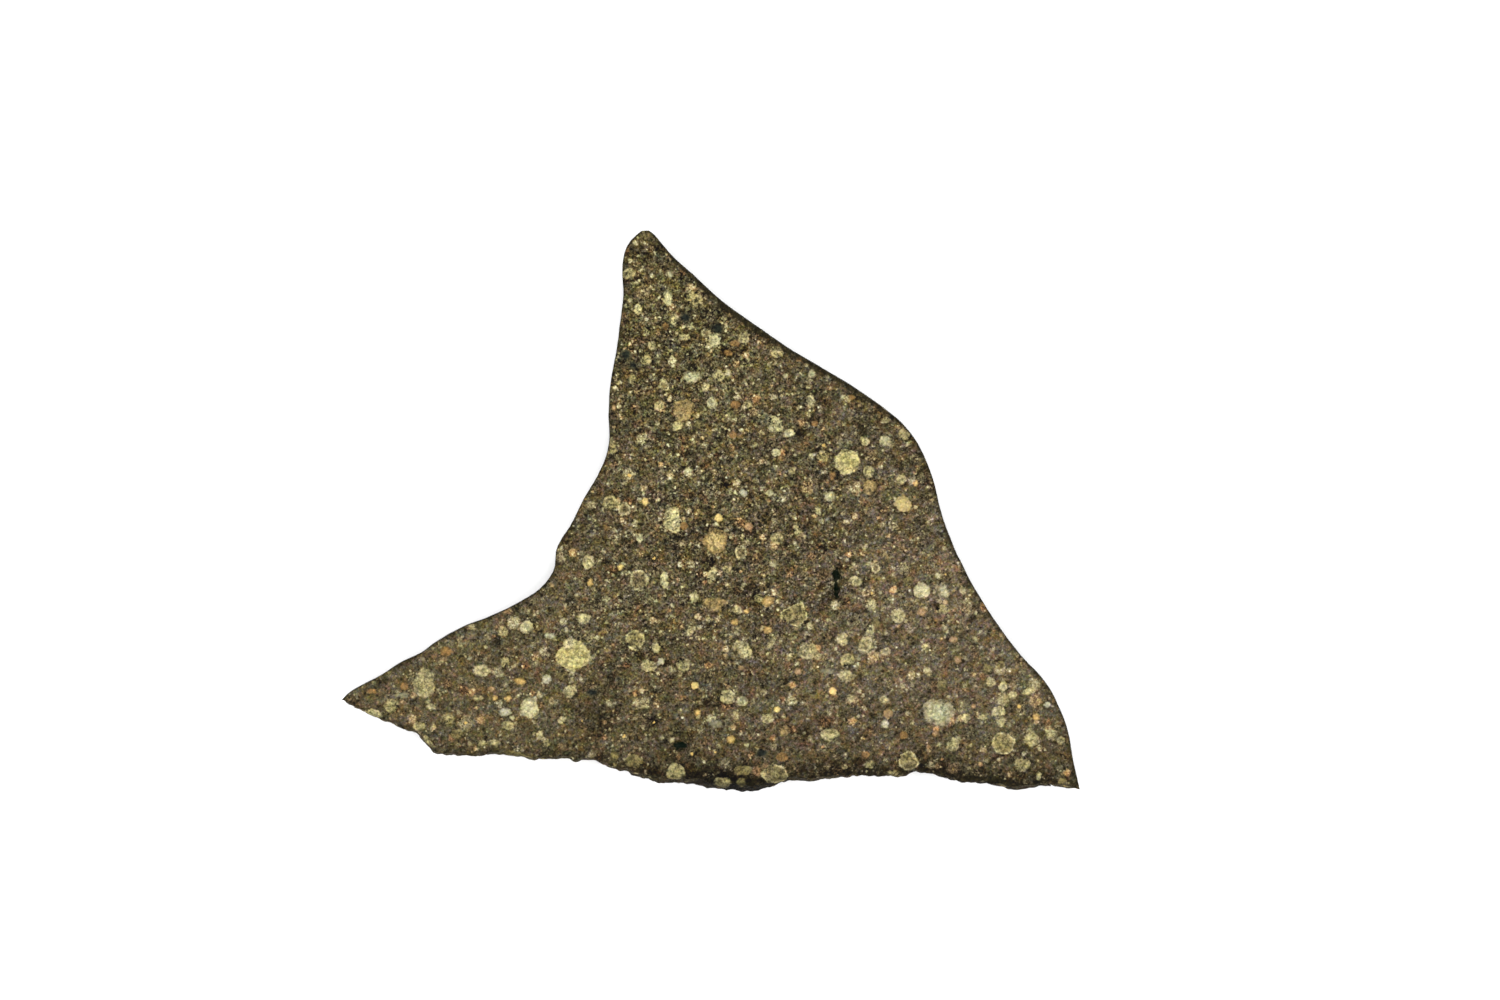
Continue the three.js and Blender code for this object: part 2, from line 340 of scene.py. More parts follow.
# x, y, width, height and turn in degrees of each grain, in pixels
grains = {
    "dark": [
        (685.5, 317.5, 13, 10), (718, 327.5, 13, 12), (762.5, 753, 13, 9), (626, 354.5, 12, 11),
        (592, 692, 12, 7), (633.5, 365, 11, 8), (681, 745.5, 10, 7),
    ],
    "dimOlive": [
        (515, 755, 34, 8, -3), (633.7, 761, 18, 13, -10), (743, 770, 18, 10), (456, 734, 13, 9),
        (943, 684.4, 12, 12), (563, 675, 12, 10), (908, 580, 12, 8), (876, 622, 10, 9), (700, 424, 9, 8),
        (742, 782.5, 9, 8), (614, 756, 9, 8), (988, 669, 9, 9), (1001, 665, 8, 8), (1062, 781, 8, 6),
    ],
    "ring": [
        (639, 580, 20, 22), (624.5, 509, 13, 13), (741, 552.5, 12, 13), (664, 385.6, 10, 10),
        (705.6, 332.7, 9, 9), (876, 568, 9, 9),
    ],
    "edged": [
        (775.5, 773.5, 27, 20), (794.6, 614.6, 31, 30), (1004, 744, 23, 22), (909, 761, 21, 20),
        (635, 640, 18, 21),
    ],
    "slate": [
        (829, 671, 15, 5), (716, 724, 12, 7), (403, 695, 10, 5),
    ],
    "olive": [
        (675.5, 772, 18, 17), (722, 784, 17, 14), (694, 298, 17, 14), (611, 503, 17, 14), (1022, 764, 15, 13),
        (684, 664, 14, 15), (847.5, 660, 14, 13), (391, 706, 14, 14), (612.8, 446, 8, 15), (629, 273, 13, 12),
        (904.5, 434.5, 13, 11), (822.5, 456, 13, 12), (777, 538, 13, 12), (777, 352, 13, 12),
        (645.8, 359, 11, 13), (448, 719, 13, 10), (419, 726, 12, 8), (870, 764, 12, 8), (892, 773, 12, 6),
        (943, 609, 13, 9),
        (503, 631, 12, 11), (508, 725, 11, 10), (505, 662, 9, 10), (727, 568.7, 10, 8), (483, 743, 10, 6),
        (478, 698, 10, 6), (759, 598, 9, 9), (633, 379, 9, 9), (748, 404, 9, 8), (886, 420, 9, 6),
        (546, 742, 7, 9), (792, 471, 6, 9),
    ],
    "greyGreen": [
        (775.6, 424, 18, 18), (871, 604, 10, 13), (870, 630, 8, 11), (1061, 740, 8, 8),
    ],
    "dullTan": [
        (683.5, 409, 22, 22), (716, 604, 24, 13, -8), (870, 488, 13, 15), (784.4, 731, 10, 10),
    ],
    "yellowOlive": [
        (424.5, 682, 21, 31, 10), (867, 645, 19, 17, 20), (830.5, 735, 18, 13, 10), (741, 646, 18, 12),
        (808, 651, 17, 17), (649, 665.6, 16, 13), (482, 671, 17, 12, 5), (846, 676, 17, 12, -15),
        (1031.5, 739, 15, 15), (727.5, 696.5, 15, 15), (898, 615.6, 14, 14), (953.6, 744.5, 13, 14),
        (570, 692, 13, 13), (718.7, 375, 12, 13), (768, 718, 13, 11), (744, 338.5, 10, 13),
        (868.3, 471.4, 12, 12), (677, 426, 12, 9), (675, 319.7, 8, 12), (656, 647, 8, 12),
        (797, 527.6, 7, 12), (927, 671, 8, 12, 30), (659.6, 405.5, 11, 9), (1001.8, 721.7, 11, 10),
        (901, 478.5, 10, 10),
        (689.5, 630.4, 8, 10), (991, 682, 9, 10), (884.5, 699, 10, 9), (982, 717, 9, 7), (851, 698, 9, 8),
        (771, 645, 7, 10), (495, 742, 10, 6), (652, 345.8, 8, 8), (1038.7, 775.6, 5, 8),
    ],
    "greyPale": [
        (939, 712, 30, 28), (691, 377.6, 19, 13, 15), (944, 591, 11, 18), (741.8, 701.3, 11, 11),
        (669.6, 273.7, 8, 8), (812, 374, 7, 9),
    ],
    "tan": [
        (715, 541, 25, 25),
    ],
    "butter": [
        (574, 655, 35, 30, 10), (847.5, 461, 25, 25),
    ],
    "straw": [
        (676, 519, 25, 28), (1030, 691, 16, 6, 15), (374, 713, 17, 8, -15), (712, 575.5, 9, 17, -20),
        (570, 643, 14, 13, 20), (855.4, 580.5, 14, 10, -10), (428, 741, 13, 5, -50), (745.5, 653.5, 13, 12),
        (998.8, 711.3, 13, 11), (589, 562, 13, 13), (842.6, 638.5, 12, 12), (584, 618.5, 12, 10),
        (810, 401, 10, 12), (1003, 687, 9, 10), (886, 651.5, 10, 9), (737, 609.7, 10, 9),
        (562, 720, 7, 10, -30), (685, 337, 10, 6), (638, 309, 8, 10), (966, 717.5, 9, 9), (865, 441, 9, 9),
        (963, 590, 8, 9),
        (1012.5, 695, 9, 8), (540, 735, 6, 9, -20), (818, 510, 6, 8), (706, 387, 8, 8), (926, 647, 9, 9),
        (432, 706, 10, 6),
    ],
    "cream": [
        (903, 504, 16, 16),
    ],
    "pale": [
        (530, 708, 19, 21), (922, 590.5, 17, 17, 30), (664.4, 580, 8, 16), (668, 297, 9, 15),
        (527, 627, 13, 12), (714, 341, 11, 11), (712, 403, 11, 11), (830, 496, 11, 9), (789, 433, 10, 8),
        (884.5, 441, 10, 10),
        (639.6, 538, 8, 9), (776, 452.5, 9, 7), (695, 597, 9, 9), (770, 492.6, 8, 7),
    ],
    "white": [
        (518, 760, 28, 4, -3), (505, 712, 11, 8), (550, 636, 10, 6), (547, 679, 9, 9), (884.6, 723.5, 7, 8),
        (743.8, 493, 7, 7), (661, 661, 6, 6), (1048, 704.6, 6, 5),
    ],
    "rust": [
        (446, 651, 12, 9), (782, 757, 11, 8), (735.5, 404, 10, 8), (734.8, 343.5, 10, 7), (404, 686, 8, 9),
        (728.7, 353, 9, 6), (372, 691, 9, 5), (904, 735, 9, 8, 20), (865.7, 755, 8, 8), (684, 526, 8, 8),
        (832.8, 475.6, 6, 8), (851.6, 397, 7, 6), (733, 434.7, 7, 6), (815, 423.4, 6, 6), (665.8, 326, 6, 6),
    ],
    "rose": [
        (888.5, 713.5, 9, 9), (922, 612, 9, 9), (798.5, 671.5, 8, 6), (953.6, 639.6, 8, 6),
        (957.4, 660, 7, 7), (741, 667.7, 5, 5),
    ],
    "orange": [
        (748.8, 526.8, 9, 8), (492, 689, 9, 6), (936, 733.5, 7, 6), (614, 407, 6, 6), (974, 706, 5, 5),
    ],
    "amber": [
        (768, 601, 12, 10, 20), (520, 681, 11, 7), (731, 739, 9, 7), (767.5, 630, 8, 7), (590, 582.5, 6, 8),
        (735, 622, 8, 6), (1036.5, 716.7, 7, 7), (508, 698, 7, 6), (697.7, 712, 6, 6), (916, 483, 6, 6),
        (495, 698, 6, 6), (746.8, 611, 5, 5),
    ],
    "gold": [
        (718.7, 518, 9, 7, 20), (694.9, 685.5, 8, 8), (833, 691, 8, 8), (645.5, 501, 7, 7),
        (777.3, 709.5, 6, 6), (620.7, 567, 6, 6),
    ],
}

# flat sides of some of them, by place: the way each side faces, degrees, and how far off it lies, mm
flatSides = {
    (574, 655): [(130, 0.88), (20, 1.0), (283, 1.02)],
    (794.6, 614.6): [(119, 0.6), (14, 0.8), (245, 0.68), (320, 0.82)],
    (676, 519): [(2, 0.26)],
    (639, 580): [(100, 0.68), (35, 0.68), (320, 0.62), (270, 0.7), (180, 0.64)],
    (530, 708): [(5, 0.58), (130, 0.6), (235, 0.62)],
    (775.5, 773.5): [(70, 0.62), (135, 0.7)],
}

grainShape = {
    "depth": (1.5, 0.4),         # how far a grain goes down: times its half width, plus mm
    "lumps": ((0.24, 0.5, 31), (0.14, 0.2, 32)),    # swing, size mm and seed of each layer of lumpiness
    "chips": (5, 0.84, 1.04),    # flatter sides to a grain, least and most share of the radius they leave
    "chipSeed": 8,
    "light": (0.96, 1.04),       # darkest and lightest a grain is, times its kind's colours
    "lightSeed": 3,
    "rimShare": 0.3,             # widest rim, as a share of the grain's half width
    "reach": 1.0,                # mm round a grain in which it is looked for
}

hiddenGrains = {
    # seeded grains for the back and the wall
    "count": 420,
    "sizes": (0.5, 1.9),
    "rarity": 3,                 # how much rarer the large ones are
    "stretch": (0.75, 1.25),
    "heights": (-0.1, 0.45),     # lowest mm, and highest as a share of the thickness
    "shares": {"olive": 0.22, "yellowOlive": 0.2, "dimOlive": 0.14, "straw": 0.12, "greyGreen": 0.08,
               "pale": 0.06, "ring": 0.05, "dullTan": 0.04, "rust": 0.04, "rose": 0.02, "orange": 0.02,
               "gold": 0.01},
    "seed": 5,
}


def grainRows(thickness):
    # every grain as a row: centre, half sizes, turn, then its kind's number; and the flat sides of each
    kinds = list(grainKinds)
    least, most = np.array(cadBox) / mm
    size = (most[0] - least[0]) / pixels["across"]
    perWidth, extra = grainShape["depth"]
    rows = []
    sides = []
    laid = [(kind, *grain) for kind, places in grains.items() for grain in places]
    laid.sort(key=lambda grain: -grain[3] * grain[4])    # small ones last, so that they lie on top
    for kind, x, y, width, height, *turn in laid:
        sides.append(flatSides.get((x, y), []))
        x = (x - pixels["origin"][0]) * size
        y = (pixels["origin"][1] - y) * size
        a, b = width / 2 * size, height / 2 * size
        deep = max(a, b) * perWidth + extra
        rows.append((x, y, thickness, a, b, deep, np.radians(turn[0] if turn else 0), kinds.index(kind)))
    random = np.random.default_rng(hiddenGrains["seed"])
    count = hiddenGrains["count"]
    low, high = hiddenGrains["sizes"]
    half = (low + (high - low) * random.random(count) ** hiddenGrains["rarity"]) / 2
    names = list(hiddenGrains["shares"])
    odds = np.array(list(hiddenGrains["shares"].values()))
    picked = random.choice(len(names), count, p=odds / odds.sum())
    lowest, highest = hiddenGrains["heights"]
    spot = random.uniform((*least[:2], lowest), (*most[:2], thickness * highest), (count, 3))
    stretch = random.uniform(*hiddenGrains["stretch"], (count, 2))
    spin = random.uniform(0, np.pi, count)
    for k in range(count):
        rows.append((*spot[k], half[k] * stretch[k, 0], half[k] * stretch[k, 1], half[k], spin[k],
                     kinds.index(names[picked[k]])))
    return np.array(rows), sides + [[]] * count


def layGrains(points, thickness):
    # for each point: how deep it lies in a grain (mm, below 0 outside) and that grain's look
    gap = np.full(len(points), -1.0)
    owner = np.zeros(len(points), int)
    lumps = np.ones(len(points))
    for swing, size, seed in grainShape["lumps"]:
        lumps += swing * (softNoise(points, size, seed) - 0.5)
    rows, sides = grainRows(thickness)
    # every grain has a few flatter sides: the way each faces, and the share of the radius it leaves
    random = np.random.default_rng(grainShape["chipSeed"])
    number, leastKept, mostKept = grainShape["chips"]
    chips = np.stack([random.uniform(0, 2 * np.pi, (len(rows), number)),
                      random.uniform(leastKept, mostKept, (len(rows), number))], axis=1)
    for row, (x, y, z, a, b, c, turn, kind) in enumerate(rows):
        reach = max(a, b) + grainShape["reach"]
        near = np.flatnonzero((abs(points[:, 0] - x) < reach) & (abs(points[:, 1] - y) < reach))
        if not len(near):
            continue
        d = points[near] - (x, y, z)
        across = (d[:, 0] * np.cos(turn) + d[:, 1] * np.sin(turn)) / a
        up = (-d[:, 0] * np.sin(turn) + d[:, 1] * np.cos(turn)) / b
        out = np.sqrt(across ** 2 + up ** 2 + (d[:, 2] / c) ** 2)
        for facing, kept in zip(*chips[row]):
            out = np.maximum(out, (across * np.cos(facing) + up * np.sin(facing)) / kept)
        for facing, distance in sides[row]:
            side = d[:, 0] * np.cos(np.radians(facing)) + d[:, 1] * np.sin(np.radians(facing))
            out = np.maximum(out, side / distance)
        out *= lumps[near]
        here = (1 - out) * min(a, b)
        wins = (here > 0) | (here > gap[near])
        owner[near[wins]] = row
        gap[near] = np.maximum(gap[near], here)
    looks = list(grainKinds.values())
    kind = rows[owner, 7].astype(int)
    random = np.random.default_rng(grainShape["lightSeed"])
    light = random.uniform(*grainShape["light"], len(rows))[owner][:, None]
    core = np.array([seenAs(look[0]) for look in looks])[kind] * light
    rim = np.array([seenAs(look[1]) for look in looks])[kind] * light
    style = np.array([look[2:] for look in looks], float)[kind]
    # small grains have narrower rims
    style[:, 0] = np.minimum(style[:, 0], grainShape["rimShare"] * rows[owner, 3:5].min(axis=1))
    return gap, core, rim, style


# dark rind drawn in from the crusted rim: width in mm, plain and near places (x, y, reach, amount)
rind = {
    "plain": 0.05,
    "soft": (0.6, 0.04),         # mm of soft shade inside the rim, and its drop of tone
    # the dark rind is the weathered crust's own colour; the two patches along the bottom edge, y near -19,
    # widen it there as painted shade where the broken edge slopes away from the light
    "patches": [(1.2, 14.0, 4.0, 0.37), (6.5, 10.2, 3.5, 0.27), (11.5, 7.0, 3.0, 0.18),
                (17.0, -6.0, 9.0, 0.1), (-9.5, -3.0, 5.0, 0.07), (2.9, -19.3, 1.0, 0.2),
                (18.6, -18.8, 2.6, 0.2)],
}

# painted shade along the broken edge, where it slopes away from the light: how strong, 0-1, and how far it
# reaches over the front face, mm
paintedEdgeShade = {
    "plain": 0.15,
    "patches": [(0.5, -18.6, 5.5, 0.7), (16.0, -18.6, 8.0, 0.6), (1.8, -19.6, 2.4, 0.65),
                (18.6, -18.9, 2.4, 0.4)],
    "reach": 1.2,
}

# broad lighter and darker places on the front: the stone's own tone, and painted shade in the dark ones along
# the bottom edge; x, y, reach mm and change of tone
broadShades = [
    (-6.0, -14.5, 3.2, -0.03), (-1.5, -16.5, 3.5, -0.02), (13.0, -8.0, 7.0, 0.045), (14.0, -2.0, 4.0, 0.03),
    (3.0, 3.0, 6.0, 0.02), (4.0, 10.0, 4.0, 0.02), (2.0, -9.0, 5.0, 0.015), (-9.0, -12.5, 3.0, -0.01),
    (-7.7, -14.2, 1.1, -0.06),
    (20.0, -12.0, 4.0, 0.03), (-15.0, -11.0, 7.0, 0.025), (17.0, -9.0, 7.0, 0.01),
    (-9.0, -18.0, 2.6, -0.06), (-1.0, -19.2, 2.8, -0.14), (3.5, -18.8, 2.2, -0.06), (8.0, -18.3, 2.8, -0.11),
    (15.0, -18.7, 3.6, -0.085), (22.0, -18.6, 2.8, -0.06), (7.0, 8.5, 3.0, -0.025), (4.5, -6.0, 3.0, -0.02),
    (-2.2, 18.6, 1.6, -0.07), (-0.5, -18.9, 0.8, -0.1), (2.4, -19.2, 1.2, -0.12),
    (3.8, -2.0, 3.0, -0.035), (6.0, 8.0, 2.2, -0.035), (9.0, 2.2, 2.6, -0.025), (7.5, -10.0, 2.2, 0.02),
]

# where the stone is yellower, above 0, or more purple, below 0: x, y, reach mm and amount
yellowing = [(-2.5, 13.0, 7.0, 1.0), (15.0, -7.0, 9.0, -0.9), (8.0, -16.0, 7.0, -0.4), (-1.0, 0.0, 6.0, 0.3)]

# how far the stone's tones spread, plain and near places: x, y, reach mm and amount
contrast = {
    "plain": 1.03,
    "middle": 0.36,              # the tone that stays put
    "patches": [(-3.0, 13.0, 9.0, 0.45), (1.0, -2.0, 9.0, 0.36), (-9.0, -8.0, 5.0, 0.15),
                (15.0, 2.0, 8.0, 0.14)],
}


def makeSlice():
    # front face, wall and back face in one closed mesh
    rings, broken, thickness = makeRings()
    levels, count, _ = rings.shape

    share, turnShare = squareRings(sliceShape["frontCells"])
    front = np.zeros((len(share), 3))
    front[:, :2] = spread(share, turnShare, rings[0])
    drop = sinkPits(front, thickness)

    backShare, backTurn = squareRings(sliceShape["backCells"])
    back = np.zeros((len(backShare), 3))
    back[:, :2] = spread(backShare * sliceShape["backRing"], backTurn, rings[-1])

    wall = rings[1:].reshape(-1, 3)
    points = np.vstack([front, wall, back])
    wallFirst = len(front)
    backFirst = wallFirst + len(wall)

    # rows of indices round the rim: the front grid's edge, then every lower ring
    ringIndex = np.vstack([
        rimOrder(share, turnShare, 0)[None],
        (wallFirst + np.arange(len(wall))).reshape(levels - 1, count),
    ])
    following = np.roll(ringIndex, -1, axis=1)
    wallFaces = np.stack([ringIndex[1:], following[1:], following[:-1], ringIndex[:-1]], axis=-1)
    wallFaces = wallFaces.reshape(-1, 4)
    frontFaces = gridFaces(sliceShape["frontCells"], 0)
    backFaces = gridFaces(sliceShape["backCells"], backFirst)[:, ::-1]

    # the wall's last ring has two points for each one of the back grid's edge
    fine = ringIndex[-1]
    coarse = rimOrder(backShare, backTurn, backFirst)
    nextFine, nextCoarse = np.roll(fine, -1), np.roll(coarse, -1)
    seam = np.concatenate([
        np.stack([coarse, fine[1::2], fine[0::2]], axis=1),
        np.stack([coarse, nextCoarse, fine[1::2]], axis=1),
        np.stack([nextCoarse, nextFine[1::2], fine[1::2]], axis=1),
    ])

    quads = np.vstack([frontFaces, wallFaces, backFaces])
    loops = np.concatenate([quads.ravel(), seam.ravel()])
    sizes = np.concatenate([np.full(len(quads), 4), np.full(len(seam), 3)])
    mesh = bpy.data.meshes.new("chondriteSlice")
    mesh.vertices.add(len(points))
    mesh.vertices.foreach_set("co", (points * mm).ravel())
    mesh.loops.add(len(loops))
    mesh.loops.foreach_set("vertex_index", loops.astype(np.int32))
    mesh.polygons.add(len(sizes))
    mesh.polygons.foreach_set("loop_start", np.concatenate([[0], np.cumsum(sizes)[:-1]]).astype(np.int32))
    mesh.update(calc_edges=True)
    mesh.validate()

    # which material each face takes: 0 sawn, 1 crust, 2 broken
    wallKind = np.where(np.tile(broken, levels - 1) > 0.5, 2, 1)
    kinds = np.concatenate([
        np.zeros(len(frontFaces), int), wallKind, np.zeros(len(backFaces) + len(seam), int),
    ])
    mesh.polygons.foreach_set("material_index", kinds.astype(np.int32))
    mesh.polygons.foreach_set("use_smooth", np.ones(len(sizes), bool))
    mesh.set_sharp_from_angle(angle=np.radians(sliceShape["sharpAngle"]))

    # attributes the materials read
    gap, core, rim, style = layGrains(points, thickness)
    toEdge = rimDistance(front, turnShare, rings[0])
    backEdge = rimDistance(back, backTurn, rings[-1])
    width = nearPatches(points[:, :2], rind["patches"], rind["plain"])
    rimGap = np.concatenate([toEdge, np.zeros(len(wall)), backEdge]) - width
    pitShade = np.concatenate([np.clip(drop / pitEdge["dark"], 0, 1), np.zeros(len(wall) + len(back))])
    # painted shade along the broken edge: fading in over the front face, and over the whole broken wall
    nearBroken = np.concatenate([
        np.clip(1 - toEdge / paintedEdgeShade["reach"], 0, 1) * broken[np.rint(turnShare * count).astype(int) % count],
        np.tile(broken, levels - 1), np.zeros(len(back)),
    ])
    paintedShade = nearBroken * nearPatches(points[:, :2], paintedEdgeShade["patches"], paintedEdgeShade["plain"])
    # broad tone of the stone, with painted shade along the bottom edge
    broad = nearPatches(points[:, :2], broadShades, 0)
    strength = nearPatches(points[:, :2], contrast["patches"], contrast["plain"])
    yellow = nearPatches(points[:, :2], yellowing, 0)
    for name, values in (("grainGap", gap), ("rimGap", rimGap), ("pitShade", pitShade), ("shade", broad),
                         ("contrast", strength), ("paintedEdgeShade", paintedShade), ("yellow", yellow)):
        mesh.attributes.new(name, "FLOAT", "POINT").data.foreach_set("value", values.astype(np.float32))
    for name, values in (("grainCore", core), ("grainRim", rim), ("grainStyle", style)):
        layer = mesh.attributes.new(name, "FLOAT_VECTOR", "POINT")
        layer.data.foreach_set("vector", values.astype(np.float32).ravel())
    piece = bpy.data.objects.new("chondriteSlice", mesh)
    bpy.context.scene.collection.objects.link(piece)
    print("slice:", len(points), "points,", int((sizes - 2).sum()), "triangles")
    return piece


def put(tree, kind, inputs=None, **settings):
    # a new shader node with its settings made and its inputs linked or filled
    node = tree.nodes.new("ShaderNode" + kind)
    for name, value in settings.items():
        setattr(node, name, value)
    for name, value in (inputs or {}).items():
        if isinstance(value, bpy.types.NodeSocket):
            tree.links.new(value, node.inputs[name])
        else:
            node.inputs[name].default_value = value
    return node


def calc(tree, operation, a, b=0.0, c=0.0, clamp=False):
    return put(tree, "Math", {0: a, 1: b, 2: c}, operation=operation, use_clamp=clamp).outputs[0]


def times(tree, a, b):
    return calc(tree, "MULTIPLY", a, b)


def plus(tree, a, b):
    return calc(tree, "ADD", a, b)


def timesPlus(tree, a, b, c):
    # a x b + c
    return calc(tree, "MULTIPLY_ADD", a, b, c)


def mixValue(tree, factor, a, b):
    return put(tree, "Mix", {0: factor, 2: a, 3: b}, data_type="FLOAT").outputs[0]


def mixColour(tree, factor, a, b):
    return put(tree, "Mix", {0: factor, 6: a, 7: b}, data_type="RGBA").outputs[2]


def scaled(tree, colour, factor):
    return put(tree, "VectorMath", {0: colour, "Scale": factor}, operation="SCALE").outputs[0]


def eased(tree, value, fromLow, fromHigh, toLow=0.0, toHigh=1.0, kind="SMOOTHSTEP"):
    node = put(tree, "MapRange", {"Value": value, "From Min": fromLow, "From Max": fromHigh,
                                            "To Min": toLow, "To Max": toHigh}, interpolation_type=kind)
    return node.outputs["Result"]


def straight(tree, value, fromLow, fromHigh, toLow, toHigh):
    return eased(tree, value, fromLow, fromHigh, toLow, toHigh, "LINEAR")


def noise(tree, place, size, detail=2.0, roughness=0.5):
    # soft noise whose waves are about this many mm
    return put(tree, "TexNoise", {"Vector": place, "Scale": 1 / size, "Detail": detail,
                                            "Roughness": roughness}).outputs["Fac"]


def wave(tree, place, size, swing, reach, detail=2.0, roughness=0.5):
    # soft noise, stretched so that its middle give or take the reach runs from -swing to swing
    found = noise(tree, place, size, detail, roughness)
    return straight(tree, found, 0.5 - reach, 0.5 + reach, -swing, swing)


def attribute(tree, name, output="Fac"):
    return put(tree, "Attribute", attribute_name=name).outputs[output]


def ramp(tree, factor, stops, kind="LINEAR"):
    # colour ramp from (position, screen colour) stops
    node = put(tree, "ValToRGB", {"Fac": factor})
    node.color_ramp.interpolation = kind
    while len(node.color_ramp.elements) < len(stops):
        node.color_ramp.elements.new(0.5)
    for element, (position, colour) in zip(node.color_ramp.elements, stops):
        element.position = position
        element.color = (*seenAs(colour), 1)
    return node.outputs["Color"]


def newGroup(name, inputs, outputs):
    # an empty group with its sockets; inputs are (name, kind, default), outputs (name, kind)
    group = bpy.data.node_groups.new(name, "ShaderNodeTree")
    for socket, kind, default in inputs:
        made = group.interface.new_socket(socket, in_out="INPUT", socket_type="NodeSocket" + kind)
        if default is not None:
            made.default_value = default
    for socket, kind in outputs:
        group.interface.new_socket(socket, in_out="OUTPUT", socket_type="NodeSocket" + kind)
    return group, group.nodes.new("NodeGroupInput").outputs, group.nodes.new("NodeGroupOutput")


def useGroup(tree, group, inputs):
    return put(tree, "Group", inputs, node_tree=group).outputs


def giveOut(tree, result, values):
    for name, value in values.items():
        tree.links.new(value, result.inputs[name])
    return tree


scatterLook = {
    "largeRare": 1.6,            # how much rarer the large ones are
    "margin": (2.0, 1.1),        # radii from the middle, faint to full
}

gritLook = {
    "waves": 1.4,                # how much finer the noise is than the cells
    "swing": 0.6,
}


def makeScatterGroup():
    # round grains strewn through the stone: one ball in some of the cells of a random honeycomb
    tree, given, result = newGroup(
        "scatteredGrains",
        [("Place", "Vector", None), ("Size", "Float", 1.0), ("Smallest", "Float", 0.1),
         ("Largest", "Float", 0.4), ("Share", "Float", 0.5), ("Blur", "Float", 0.3)],
        [("Mask", "Float"), ("Pick", "Float"), ("Light", "Float"), ("Margin", "Float")],
    )
    cells = put(tree, "TexVoronoi", {"Vector": given["Place"], "Randomness": 1.0,
                                               "Scale": calc(tree, "DIVIDE", 1.0, given["Size"])})
    random = put(tree, "SeparateColor", {0: cells.outputs["Color"]}).outputs
    grown = calc(tree, "POWER", random[0], scatterLook["largeRare"])
    radius = straight(tree, grown, 0.0, 1.0, given["Smallest"], given["Largest"])
    outward = calc(tree, "DIVIDE", cells.outputs["Distance"], radius)
    outer, inner = plus(tree, 1.0, given["Blur"]), calc(tree, "SUBTRACT", 1.0, given["Blur"])
    disc = eased(tree, outward, outer, inner)
    present = calc(tree, "LESS_THAN", random[1], given["Share"])
    light = put(tree, "TexWhiteNoise", {"Vector": cells.outputs["Color"]}, noise_dimensions="3D")
    return giveOut(tree, result, {
        "Mask": times(tree, disc, present), "Pick": random[2], "Light": light.outputs["Value"],
        "Margin": times(tree, eased(tree, outward, *scatterLook["margin"]), present)})


def makeGritGroup():
    # crystals: small random cells and fine noise together, about -1 to 1 round a middle of 0
    tree, given, result = newGroup(
        "crystalGrit", [("Place", "Vector", None), ("Size", "Float", 0.2)], [("Value", "Float")])
    frequency = calc(tree, "DIVIDE", 1.0, given["Size"])
    cells = put(tree, "TexVoronoi", {"Vector": given["Place"], "Scale": frequency})
    cell = put(tree, "SeparateColor", {0: cells.outputs["Color"]}).outputs[0]
    finer = times(tree, frequency, gritLook["waves"])
    waves = put(tree, "TexNoise", {"Vector": given["Place"], "Scale": finer, "Detail": 1.0})
    swing = gritLook["swing"]
    flat = straight(tree, cell, 0.0, 1.0, -swing, swing)
    soft = straight(tree, waves.outputs["Fac"], 0.25, 0.75, -swing, swing)
    return giveOut(tree, result, {"Value": plus(tree, flat, soft)})


# colour of the stone by how bright it is on screen, 0-1, in its plain, warm and cool varieties
stoneColours = {
    "plain": [(0.0, (25, 22, 15)), (0.17, (53, 46, 30)), (0.34, (98, 88, 64)), (0.5, (140, 127, 93)),
              (0.72, (196, 184, 135)), (1.0, (255, 246, 198))],
    "warm": [(0.0, (22, 20, 18)), (0.17, (60, 40, 24)), (0.34, (118, 82, 52)), (0.5, (176, 116, 68)),
             (0.72, (234, 176, 104)), (1.0, (255, 236, 184))],
    "cool": [(0.0, (22, 20, 18)), (0.17, (42, 44, 36)), (0.34, (84, 88, 72)), (0.5, (126, 130, 102)),
             (0.72, (182, 186, 148)), (1.0, (246, 250, 216))],
}

matrixLook = {
    "tone": 0.335,
    "margin": 0.03,              # drop of tone round the laid grains
    "marginReach": (-0.3, -0.05),    # mm outside them, faint to full
    "grain": (0.34, 0.07),       # size mm and swing of the tone, soft part
    "grit": (0.13, 0.12),        # fine part
    "drift": (2.4, 0.045),       # broad part
    "hue": (0.7, 0.4),           # size mm and swing, cool to warm
    "strewnHue": (5.0, -0.15),   # how rare warm strewn grains are, and the hue of the coolest
    "push": (4.5, 0.3),          # waves to a mm, and how many mm they push the outlines about
    "paintedEdgeShade": 0.2,                # drop of tone under the painted edge shade
    "tint": (0.8, 0.5, 0.0, 1.3),    # size mm, and how far red, green and blue each swing
    "speckle": (0.2, 0.8, 0.0, 1.7),     # the same for the fine part
    "yellowing": (-0.02, 0.015, -0.15),  # change of red, green and blue where the stone is yellower
    "grainTint": 0.4,            # how much of all that the grains take
    "relief": 0.2,               # height of the grit, where a grain stands 1 high
}

# laid grains
grainLook = {
    "ragged": (0.16, 0.075),     # size and swing of the uneven outline, mm
    "edge": (-0.07, 0.05),       # mm over which a grain fades in
    "rim": (0.3, 1.7),           # rim widths from the edge over which the rim turns into the core
    "facets": (0.26, 0.5),       # size mm and strength of the larger crystals
    "waves": (0.38, 0.62),       # size mm and swing of the soft waves among them
    "fine": 0.45,                # strength of the fine grit
    "darkest": -0.45,
    "plain": 0.94,               # brightness round which all that swings
    "arcs": (0.6, -0.4, 0.7),    # size mm of the dull and bright stretches of a rim, and how dull and bright
    "underEdgeShade": 0.75,               # brightness left under the painted edge shade
}

